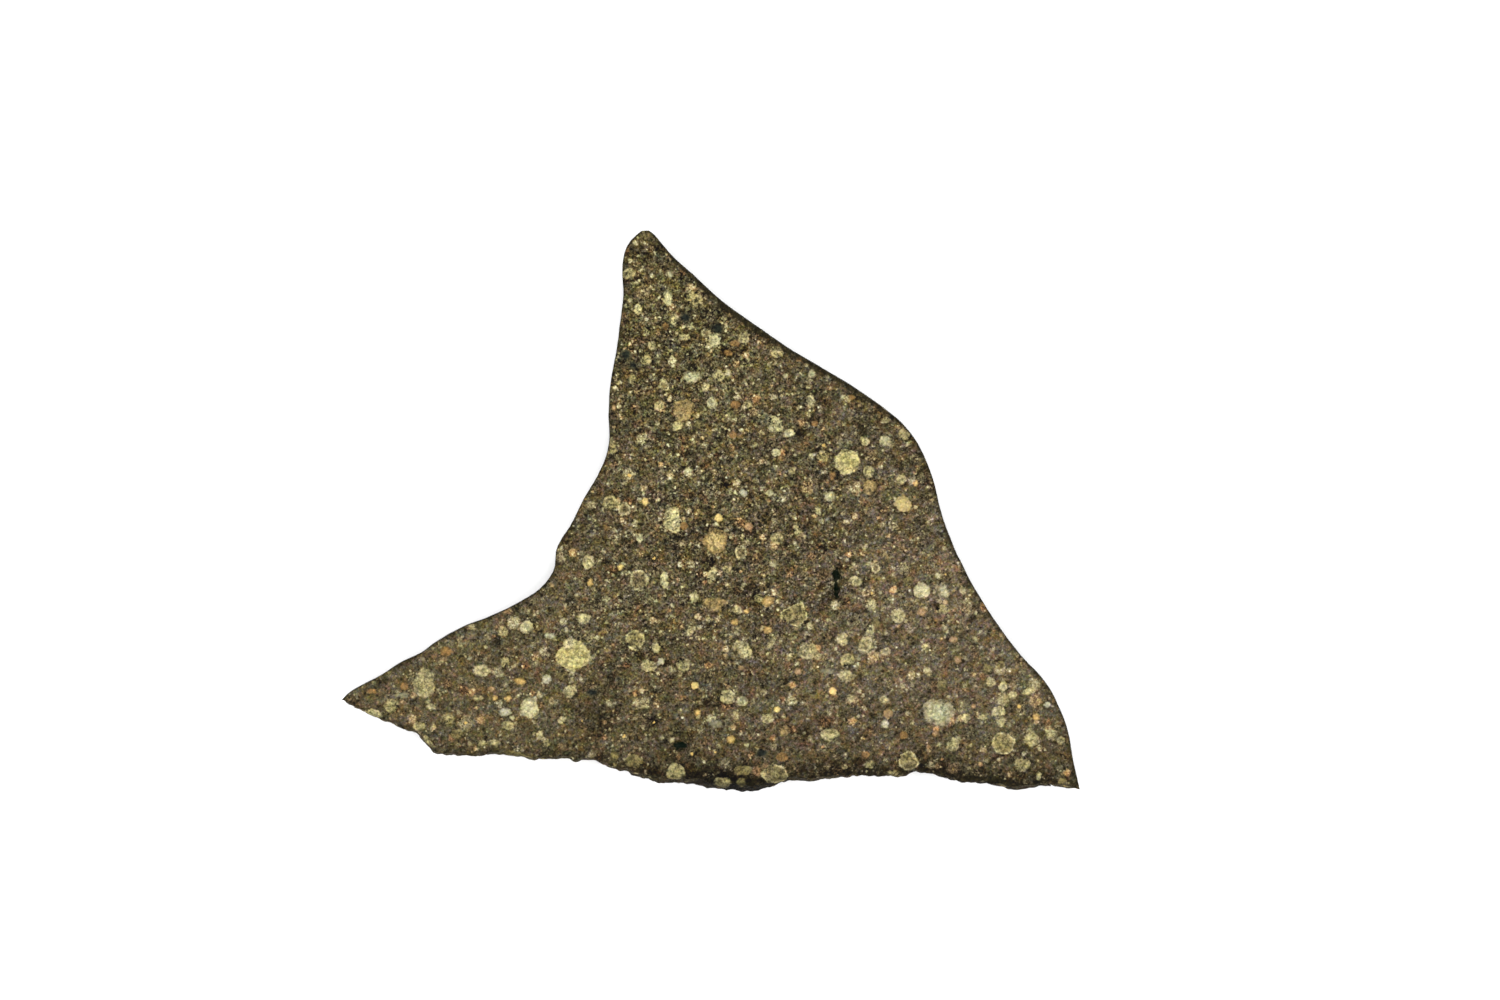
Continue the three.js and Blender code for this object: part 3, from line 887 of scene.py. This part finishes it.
# strewn grains: cell size mm, smallest and largest radius in cells, share of cells filled, blurred part of
# the radius, darkest and lightest tone, how rare the light ones are, how far the crystals inside swing,
# warmest hue, drop of tone in the margin round each
grainLayers = [
    {"size": 0.22, "smallest": 0.2, "largest": 0.5, "share": 0.6, "blur": 0.5,
     "tone": (0.17, 0.7), "rare": 2.0, "grit": 0.0, "warm": 0.4, "margin": 0.03},
    {"size": 0.36, "smallest": 0.2, "largest": 0.5, "share": 0.6, "blur": 0.55,
     "tone": (0.23, 0.68), "rare": 1.6, "grit": 0.05, "warm": 0.5, "margin": 0.035},
    {"size": 0.62, "smallest": 0.18, "largest": 0.5, "share": 0.6, "blur": 0.48,
     "tone": (0.26, 0.68), "rare": 1.5, "grit": 0.1, "warm": 0.7, "margin": 0.03},
    {"size": 1.1, "smallest": 0.14, "largest": 0.46, "share": 0.5, "blur": 0.36,
     "tone": (0.27, 0.64), "rare": 1.6, "grit": 0.12, "warm": 0.7, "margin": 0.03},
]

# the same for spots that darken or lighten what is there
darkSpots = {"size": 1.3, "smallest": 0.1, "largest": 0.32, "share": 0.5, "blur": 0.6, "drop": 0.13}
darkSpecks = {"size": 0.3, "smallest": 0.14, "largest": 0.4, "share": 0.4, "blur": 0.6, "drop": 0.12}
sparkles = {"size": 0.27, "smallest": 0.14, "largest": 0.38, "share": 0.36, "blur": 0.5, "lift": 0.34,
            "onMatrix": 0.4, "onLaid": 0.6}    # share of the lift on bare matrix, lift on laid grains
flecks = {"size": 1.1, "smallest": 0.05, "largest": 0.13, "share": 0.22, "blur": 0.3,
          "colour": (226, 190, 112), "metal": 0.5}


def strew(tree, scatter, place, layer):
    return useGroup(tree, scatter, {
        "Place": place, "Size": layer["size"], "Smallest": layer["smallest"], "Largest": layer["largest"],
        "Share": layer["share"], "Blur": layer["blur"]})


def mulVectors(tree, a, b):
    return put(tree, "VectorMath", {0: a, 1: b}, operation="MULTIPLY").outputs[0]


def swinging(tree, place, size, *swings):
    # a colour factor round 1: each channel follows its own noise by its own swing
    drift = put(tree, "TexNoise", {"Vector": place, "Scale": 1 / size, "Detail": 1.0})
    middle = [1 - swing / 2 for swing in swings]
    return put(tree, "VectorMath", {0: drift.outputs["Color"], 1: swings, 2: middle},
               operation="MULTIPLY_ADD").outputs[0]


def makeStoneGroup(scatter, grit):
    # colour of the stone at a place in mm, with the shifts of tone and the painted shade it is given: matrix,
    # strewn grains, then the grains laid one by one
    tree, given, result = newGroup(
        "chondriteStone", [("Place", "Vector", None), ("Shade", "Float", 0.0), ("PaintedEdgeShade", "Float", 0.0)],
        [("Colour", "Color"), ("Metal", "Float"), ("Height", "Float"), ("Grain", "Float")])
    place = given["Place"]
    # grains are lumpy because the place is pushed about a little first
    often, far = matrixLook["push"]
    push = put(tree, "TexNoise", {"Vector": place, "Scale": often, "Detail": 2.0}).outputs["Color"]
    push = put(tree, "VectorMath", {0: push, 1: (0.5, 0.5, 0.5)}, operation="SUBTRACT").outputs[0]
    lumpy = put(tree, "VectorMath", {0: push, 1: (far, far, far), 2: place},
                operation="MULTIPLY_ADD").outputs[0]

    # matrix: one tone, swung by soft noise, fine grit and a broad drift
    fine = useGroup(tree, grit, {"Place": place, "Size": matrixLook["grit"][0]})["Value"]
    size, swing = matrixLook["grain"]
    tone = straight(tree, noise(tree, place, size, 3.0, 0.6), 0.25, 0.75, matrixLook["tone"] - swing,
                    matrixLook["tone"] + swing)
    size, swing = matrixLook["drift"]
    tone = plus(tree, tone, wave(tree, place, size, swing, 0.25, 3.0))
    # hue: below 0 cool, above 0 warm
    size, swing = matrixLook["hue"]
    hue = wave(tree, place, size, swing, 0.25)
    warmRare, coolest = matrixLook["strewnHue"]
    cover = 0.0
    for layer in grainLayers:
        found = strew(tree, scatter, lumpy, layer)
        dark, light = layer["tone"]
        own = straight(tree, calc(tree, "POWER", found["Light"], layer["rare"]), 0.0, 1.0, dark, light)
        own = timesPlus(tree, fine, layer["grit"], own)
        tone = timesPlus(tree, found["Margin"], -layer["margin"], tone)
        tone = mixValue(tree, found["Mask"], tone, own)
        # most grains are plain, a few are warm
        pick = calc(tree, "POWER", found["Pick"], warmRare)
        ownHue = straight(tree, pick, 0.0, 1.0, coolest, layer["warm"])
        hue = mixValue(tree, found["Mask"], hue, ownHue)
        cover = calc(tree, "MAXIMUM", cover, found["Mask"])
    spots = strew(tree, scatter, lumpy, darkSpots)["Mask"]
    tone = timesPlus(tree, spots, -darkSpots["drop"], tone)
    specks = strew(tree, scatter, place, darkSpecks)["Mask"]
    tone = timesPlus(tree, specks, -darkSpecks["drop"], tone)
    strength = attribute(tree, "contrast")
    tone = timesPlus(tree, times(tree, fine, strength), matrixLook["grit"][1], tone)
    sparkle = strew(tree, scatter, place, sparkles)
    lift = times(tree, sparkle["Mask"], straight(tree, cover, 0.0, 1.0, sparkles["onMatrix"], 1.0))
    tone = timesPlus(tree, lift, sparkles["lift"], tone)
    # a dark margin round every laid grain
    gap = attribute(tree, "grainGap")
    margin = eased(tree, gap, *matrixLook["marginReach"], 0.0, matrixLook["margin"])
    tone = calc(tree, "SUBTRACT", tone, margin)
    tone = timesPlus(tree, calc(tree, "SUBTRACT", tone, contrast["middle"]), strength, contrast["middle"])
    # tone shifts and painted shade given by the material, then the painted shade along the broken edge
    tone = plus(tree, tone, given["Shade"])
    tone = timesPlus(tree, given["PaintedEdgeShade"], -matrixLook["paintedEdgeShade"], tone)
    plain, warm, cool = (ramp(tree, tone, stoneColours[kind]) for kind in ("plain", "warm", "cool"))
    colour = mixColour(tree, calc(tree, "MAXIMUM", hue, 0.0), plain, warm)
    colour = mixColour(tree, calc(tree, "MAXIMUM", times(tree, hue, -1.0), 0.0), colour, cool)

    # swings between rosy, yellow and bluish, broad and fine, and the yellower places
    tint = swinging(tree, place, *matrixLook["tint"])
    tint = mulVectors(tree, tint, swinging(tree, place, *matrixLook["speckle"]))
    yellow = scaled(tree, matrixLook["yellowing"], attribute(tree, "yellow"))
    yellow = put(tree, "VectorMath", {0: yellow, 1: (1, 1, 1)}, operation="ADD").outputs[0]
    tint = mulVectors(tree, tint, yellow)

    # laid grains: core and rim colours, crystals inside, a soft uneven edge
    style = put(tree, "SeparateXYZ", {0: attribute(tree, "grainStyle", "Vector")}).outputs
    size, swing = grainLook["ragged"]
    gap = plus(tree, gap, wave(tree, place, size, swing, 0.3, 2.0, 0.6))
    mask = eased(tree, gap, *grainLook["edge"])
    coreMask = eased(tree, calc(tree, "DIVIDE", gap, style[0]), *grainLook["rim"])
    size, strong = grainLook["facets"]
    coarse = useGroup(tree, grit, {"Place": lumpy, "Size": size})["Value"]
    size, swing = grainLook["waves"]
    waves = wave(tree, place, size, swing, 0.22, 4.0, 0.72)
    spark = plus(tree, timesPlus(tree, coarse, strong, waves), times(tree, fine, grainLook["fine"]))
    spark = calc(tree, "MAXIMUM", spark, grainLook["darkest"])
    spark = timesPlus(tree, times(tree, spark, strength), style[1], grainLook["plain"])
    # glints, and a rim that is bright in places and dull in others
    spark = timesPlus(tree, sparkle["Mask"], sparkles["onLaid"], spark)
    size, dull, bright = grainLook["arcs"]
    arcs = straight(tree, noise(tree, place, size, 1.0), 0.35, 0.65, dull, bright)
    rimMask = calc(tree, "SUBTRACT", 1.0, coreMask)
    spark = timesPlus(tree, rimMask, times(tree, arcs, style[1]), spark)
    # painted shade along the broken edge dims the laid grains too
    spark = times(tree, spark, straight(tree, given["PaintedEdgeShade"], 0.0, 1.0, 1.0, grainLook["underEdgeShade"]))
    rim, core = attribute(tree, "grainRim", "Color"), attribute(tree, "grainCore", "Color")
    laid = mixColour(tree, coreMask, rim, core)
    colour = mixColour(tree, mask, colour, scaled(tree, laid, spark))
    grain = calc(tree, "MAXIMUM", cover, mask)
    share = straight(tree, grain, 0.0, 1.0, 1.0, matrixLook["grainTint"])
    colour = mixColour(tree, share, colour, mulVectors(tree, colour, tint))

    # bright metal flecks, few and small
    fleck = strew(tree, scatter, lumpy, flecks)["Mask"]
    colour = mixColour(tree, fleck, colour, (*seenAs(flecks["colour"]), 1))
    metal = calc(tree, "ADD", times(tree, mask, style[2]), times(tree, fleck, flecks["metal"]), clamp=True)
    height = timesPlus(tree, fine, matrixLook["relief"], grain)
    return giveOut(tree, result, {"Colour": colour, "Metal": metal, "Height": height, "Grain": grain})


crustLook = {
    "mottle": 0.6,               # size mm
    "pebbles": (5.0, 0.25),      # how many to a mm, and how far they change the tone
    "tones": [(0.35, (18, 18, 13)), (0.55, (32, 30, 21)), (0.7, (50, 45, 31)), (0.88, (84, 74, 50))],
    "wear": 1.2,                 # size mm of the worn places
    "bare": (0.56, 0.7, 0.0, 0.55),    # wear at which stone begins and ends to show through, and how much
    "roughness": (0.55, 0.85),
    "relief": 0.06,
}


def makeCrustGroup():
    # weathered outer crust: near black, mottled with brown, and a fine pebbled height
    tree, given, result = newGroup(
        "weatheredCrust", [("Place", "Vector", None)], [("Colour", "Color"), ("Height", "Float")])
    mottle = noise(tree, given["Place"], crustLook["mottle"], 5.0, 0.7)
    often, change = crustLook["pebbles"]
    pebbles = put(tree, "TexVoronoi", {"Vector": given["Place"], "Scale": often})
    pebbles = pebbles.outputs["Distance"]
    colour = ramp(tree, timesPlus(tree, pebbles, change, mottle), crustLook["tones"])
    return giveOut(tree, result, {"Colour": colour, "Height": calc(tree, "SUBTRACT", mottle, pebbles)})


def startMaterial(name):
    # a material with an empty tree, its shader, and Object coordinates turned into millimetres
    material = bpy.data.materials.new(name)
    material.use_nodes = True
    tree = material.node_tree
    tree.nodes.clear()
    output = tree.nodes.new("ShaderNodeOutputMaterial")
    shader = tree.nodes.new("ShaderNodeBsdfPrincipled")
    tree.links.new(shader.outputs[0], output.inputs["Surface"])
    shader.inputs["Specular IOR Level"].default_value = studio["gloss"]
    where = tree.nodes.new("ShaderNodeTexCoord").outputs["Object"]
    place = put(tree, "Mapping", {"Vector": where, "Scale": (1 / mm, 1 / mm, 1 / mm)}).outputs[0]
    return material, tree, shader, place


def finishMaterial(tree, shader, colour, roughness, height, relief):
    tree.links.new(colour, shader.inputs["Base Color"])
    tree.links.new(roughness, shader.inputs["Roughness"])
    bump = put(tree, "Bump", {"Height": height, "Strength": 1.0, "Distance": relief * mm})
    tree.links.new(bump.outputs[0], shader.inputs["Normal"])


sawnLook = {
    "roughness": (0.5, 0.66),
    "relief": 0.006,
    "markRise": 38,              # degrees the saw marks rise to the right
    "markSize": (6.0, 0.34, 3.0),
    "markDepth": 0.085,
    "markReach": (-8.0, 10.0),   # mm across the face, faint to full
    "faintest": 0.6,
    "markRelief": 8.0,
    "paintedEdgeShade": (0.7, 0.5, 1.3),    # size mm of the painted edge shade's patches, least and most of it
    "rindRagged": (0.28, 0.2),   # size and swing of the rind's uneven edge, mm
    "rindEdge": (0.14, -0.2, 0.0, 0.9),    # mm over which the rind comes in, and how much it covers
    "pitRagged": (0.22, 0.45),   # size mm and swing of the pits' uneven edge
    "pitEdge": (0.25, 0.8, 0.0, 0.95),     # depth over which the painted pit shade comes in, and how much it covers
    # colour of the painted shade in the pits
    "pitShadeColour": (23, 33, 26),
}


def makeSawn(stone, crust):
    # sawn and lightly polished face, with the dark rind drawn in from the rim
    material, tree, shader, place = startMaterial("sawnStone")
    rise = (0, 0, np.radians(sawnLook["markRise"]))
    turned = put(tree, "Mapping", {"Vector": place, "Rotation": rise,
                                             "Scale": sawnLook["markSize"]}, vector_type="TEXTURE").outputs[0]
    marks = wave(tree, turned, 1.0, sawnLook["markDepth"], 0.25)
    across = put(tree, "SeparateXYZ", {0: place}).outputs[0]
    strength = eased(tree, across, *sawnLook["markReach"], sawnLook["faintest"], 1.0)
    marked = times(tree, marks, strength)
    shade = plus(tree, marked, attribute(tree, "shade"))
    # painted shade along the broken edge, in patches
    size, least, most = sawnLook["paintedEdgeShade"]
    patchy = straight(tree, noise(tree, place, size, 3.0), 0.3, 0.7, least, most)
    paintedShade = times(tree, attribute(tree, "paintedEdgeShade"), patchy)
    reach, drop = rind["soft"]
    shade = plus(tree, shade, eased(tree, attribute(tree, "rimGap"), reach, 0.0, 0.0, -drop))
    face = useGroup(tree, stone, {"Place": place, "Shade": shade, "PaintedEdgeShade": paintedShade})
    rindLook = useGroup(tree, crust, {"Place": place})

    size, swing = sawnLook["rindRagged"]
    ragged = wave(tree, place, size, swing, 0.25, 4.0, 0.6)
    rindMask = eased(tree, plus(tree, attribute(tree, "rimGap"), ragged), *sawnLook["rindEdge"])
    colour = mixColour(tree, rindMask, face["Colour"], rindLook["Colour"])
    # painted shade in the pits: a near black colour laid in by depth
    size, swing = sawnLook["pitRagged"]
    ragged = wave(tree, place, size, swing, 0.2)
    pit = eased(tree, plus(tree, attribute(tree, "pitShade"), ragged), *sawnLook["pitEdge"])
    colour = mixColour(tree, pit, colour, (*seenAs(sawnLook["pitShadeColour"]), 1))

    onGrains, onMatrix = sawnLook["roughness"]
    rough = straight(tree, face["Grain"], 0.0, 1.0, onMatrix, onGrains)
    height = timesPlus(tree, marked, sawnLook["markRelief"], face["Height"])
    finishMaterial(tree, shader, colour, rough, height, sawnLook["relief"])
    tree.links.new(face["Metal"], shader.inputs["Metallic"])
    return material


def makeCrust(stone, crust):
    # natural outside of the stone
    material, tree, shader, place = startMaterial("crustedRim")
    face = useGroup(tree, stone, {"Place": place})
    look = useGroup(tree, crust, {"Place": place})
    worn = noise(tree, place, crustLook["wear"], 4.0)
    bare = eased(tree, worn, *crustLook["bare"])
    colour = mixColour(tree, bare, look["Colour"], face["Colour"])
    rough = straight(tree, worn, 0.2, 0.8, *crustLook["roughness"])
    finishMaterial(tree, shader, colour, rough, look["Height"], crustLook["relief"])
    return material


brokenLook = {
    "patches": 1.1,              # size mm
    "paintedEdgeShade": (0.7, 1.3),         # least and most of the painted edge shade
    "crusted": (0.52, 0.68, 0.0, 0.6),    # where crust begins and ends to cover, and how much
    "darkened": (0.6, 1.6, 1.0, 0.45),    # painted shade at which it begins and ends to darken, and by how much
    "roughness": (0.75, 0.92),
    "relief": 0.08,
}


def makeBroken(stone, crust):
    # rough broken edge: the stone's own colours, darkened by painted shade, with crust left in places
    material, tree, shader, place = startMaterial("brokenEdge")
    patchy = noise(tree, place, brokenLook["patches"], 4.0)
    # painted shade over the broken wall, in patches
    paintedShade = times(tree, attribute(tree, "paintedEdgeShade"), straight(tree, patchy, 0.3, 0.7, *brokenLook["paintedEdgeShade"]))
    face = useGroup(tree, stone, {"Place": place, "PaintedEdgeShade": paintedShade})
    look = useGroup(tree, crust, {"Place": place})
    cover = eased(tree, patchy, *brokenLook["crusted"])
    colour = mixColour(tree, cover, face["Colour"], look["Colour"])
    colour = scaled(tree, colour, straight(tree, paintedShade, *brokenLook["darkened"]))
    rough = straight(tree, patchy, 0.3, 0.7, *brokenLook["roughness"])
    height = plus(tree, face["Height"], look["Height"])
    finishMaterial(tree, shader, colour, rough, height, brokenLook["relief"])
    return material


stage = {
    "floorSize": 2.0,
    "floorDrop": 0.02,           # mm below the slice
    "floorColour": (0.95, 0.95, 0.95),
    "floorRoughness": 0.9,
    "floorGloss": 0.1,
    "worldStrength": 1.05,
    "softboxes": [(-0.6, 0.0, 1.3), (0.6, 0.0, 1.3), (0.0, -0.6, 1.3), (0.0, 0.6, 1.3)],
    "softboxPower": 5.3,
    "softboxSize": 0.7,
    "frameWidth": 101.3,         # mm across the picture at the front face
    "frameCentre": (2.66, 0.78),
    "cameraHeight": 400.0,
    "nearest": 10.0,             # mm from the camera at which it begins to see
    "sensor": 36.0,
}


def makeFloor():
    half = stage["floorSize"] / 2
    mesh = bpy.data.meshes.new("floor")
    z = -stage["floorDrop"] * mm
    corners = [(-half, -half, z), (half, -half, z), (half, half, z), (-half, half, z)]
    mesh.from_pydata(corners, [], [(0, 1, 2, 3)])
    floor = bpy.data.objects.new("floor", mesh)
    bpy.context.scene.collection.objects.link(floor)
    material = bpy.data.materials.new("palePaper")
    material.use_nodes = True
    shader = material.node_tree.nodes["Principled BSDF"]
    shader.inputs["Base Color"].default_value = (*stage["floorColour"], 1)
    shader.inputs["Roughness"].default_value = stage["floorRoughness"]
    shader.inputs["Specular IOR Level"].default_value = stage["floorGloss"]
    mesh.materials.append(material)


def makeLights():
    world = bpy.data.worlds.new("studio")
    world.use_nodes = True
    world.node_tree.nodes["Background"].inputs["Color"].default_value = (1, 1, 1, 1)
    world.node_tree.nodes["Background"].inputs["Strength"].default_value = stage["worldStrength"]
    bpy.context.scene.world = world
    for number, place in enumerate(stage["softboxes"]):
        data = bpy.data.lights.new(f"softbox{number}", "AREA")
        data.shape = "SQUARE"
        data.size = stage["softboxSize"]
        data.energy = stage["softboxPower"]
        light = bpy.data.objects.new(data.name, data)
        light.location = place
        light.rotation_euler = (-Vector(place)).to_track_quat("-Z", "Y").to_euler()
        bpy.context.scene.collection.objects.link(light)


def makeCamera(frontHeight):
    data = bpy.data.cameras.new("camera")
    data.sensor_width = stage["sensor"]
    data.lens = stage["sensor"] * stage["cameraHeight"] / stage["frameWidth"]
    data.clip_start = stage["nearest"] * mm
    camera = bpy.data.objects.new("camera", data)
    x, y = stage["frameCentre"]
    camera.location = (x * mm, y * mm, (frontHeight + stage["cameraHeight"]) * mm)
    bpy.context.scene.collection.objects.link(camera)
    bpy.context.scene.camera = camera
    bpy.context.scene.view_settings.view_transform = "Standard"


makeCamera(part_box(sliceShape["node"])[1].z / mm)
makeFloor()
makeLights()
print("camera, floor and lights set")

piece = makeSlice()
scatterGroup = makeScatterGroup()
gritGroup = makeGritGroup()
stoneGroup = makeStoneGroup(scatterGroup, gritGroup)
crustGroup = makeCrustGroup()
for make in (makeSawn, makeCrust, makeBroken):
    piece.data.materials.append(make(stoneGroup, crustGroup))
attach(piece, "root")
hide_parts(sliceShape["node"])
print("materials made")
